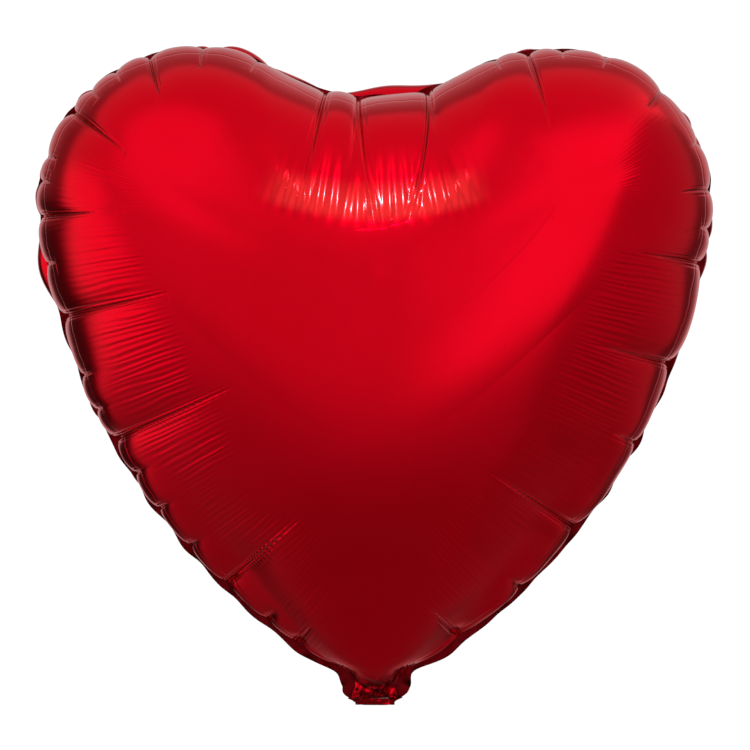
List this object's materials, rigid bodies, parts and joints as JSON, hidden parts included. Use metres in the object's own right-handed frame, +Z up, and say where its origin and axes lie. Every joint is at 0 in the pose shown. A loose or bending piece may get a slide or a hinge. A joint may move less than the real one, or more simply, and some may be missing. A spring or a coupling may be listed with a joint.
{
  "type": "heart-shaped foil balloon",
  "caption": "Blown-up heart balloon of two welded metallised film panels, with a fold-back filling tail and a flat self-sealing film valve in its neck.",
  "frame": {"origin": "bottom of the neck on the middle line, where the tail folds back and a ribbon is tied", "axes": "+X to the right across both lobes as seen from the front, +Y from the front panel to the rear panel, +Z up from the neck to the cleft"},
  "size_m": [0.381, 0.19, 0.3686],
  "materials": {
    "red_foil": "metallised film under a clear red lacquer, mirror-bright",
    "welded_foil": "metallised film, heat-sealed and finely crimped",
    "valve_film": "clear thin film"
  },
  "bodies": {
    "envelope": {"front_foil_panel": "red_foil", "rear_foil_panel": "red_foil", "perimeter_heat_seal": "welded_foil"},
    "tail": {"tail_front_film": "red_foil", "tail_rear_film": "red_foil", "tail_left_heat_seal": "welded_foil", "tail_right_heat_seal": "welded_foil", "valve_inlet_front_film": "valve_film", "valve_inlet_rear_film": "valve_film"},
    "valve_front": {"valve_front_film": "valve_film"},
    "valve_rear": {"valve_rear_film": "valve_film"}
  },
  "joints": [
    {"name": "tail_fold", "type": "hinge", "parent": "envelope", "child": "tail", "pos_m": [0, 0.0015, 0.002], "axis": [-1, 0, 0], "range_deg": [0, 128]},
    {"name": "valve_front_open", "type": "hinge", "parent": "envelope", "child": "valve_front", "pos_m": [0, -0.0003, 0.0042], "axis": [1, 0, 0], "range_deg": [0, 6], "stiffness_Nm_per_rad": 0.002},
    {"name": "valve_rear_open", "type": "hinge", "parent": "envelope", "child": "valve_rear", "pos_m": [0, 0.0003, 0.0042], "axis": [-1, 0, 0], "range_deg": [0, 6], "stiffness_Nm_per_rad": 0.002}
  ],
  "couplings": [
    {"joint": "valve_rear_open", "follows": "valve_front_open", "ratio": 1}
  ]
}
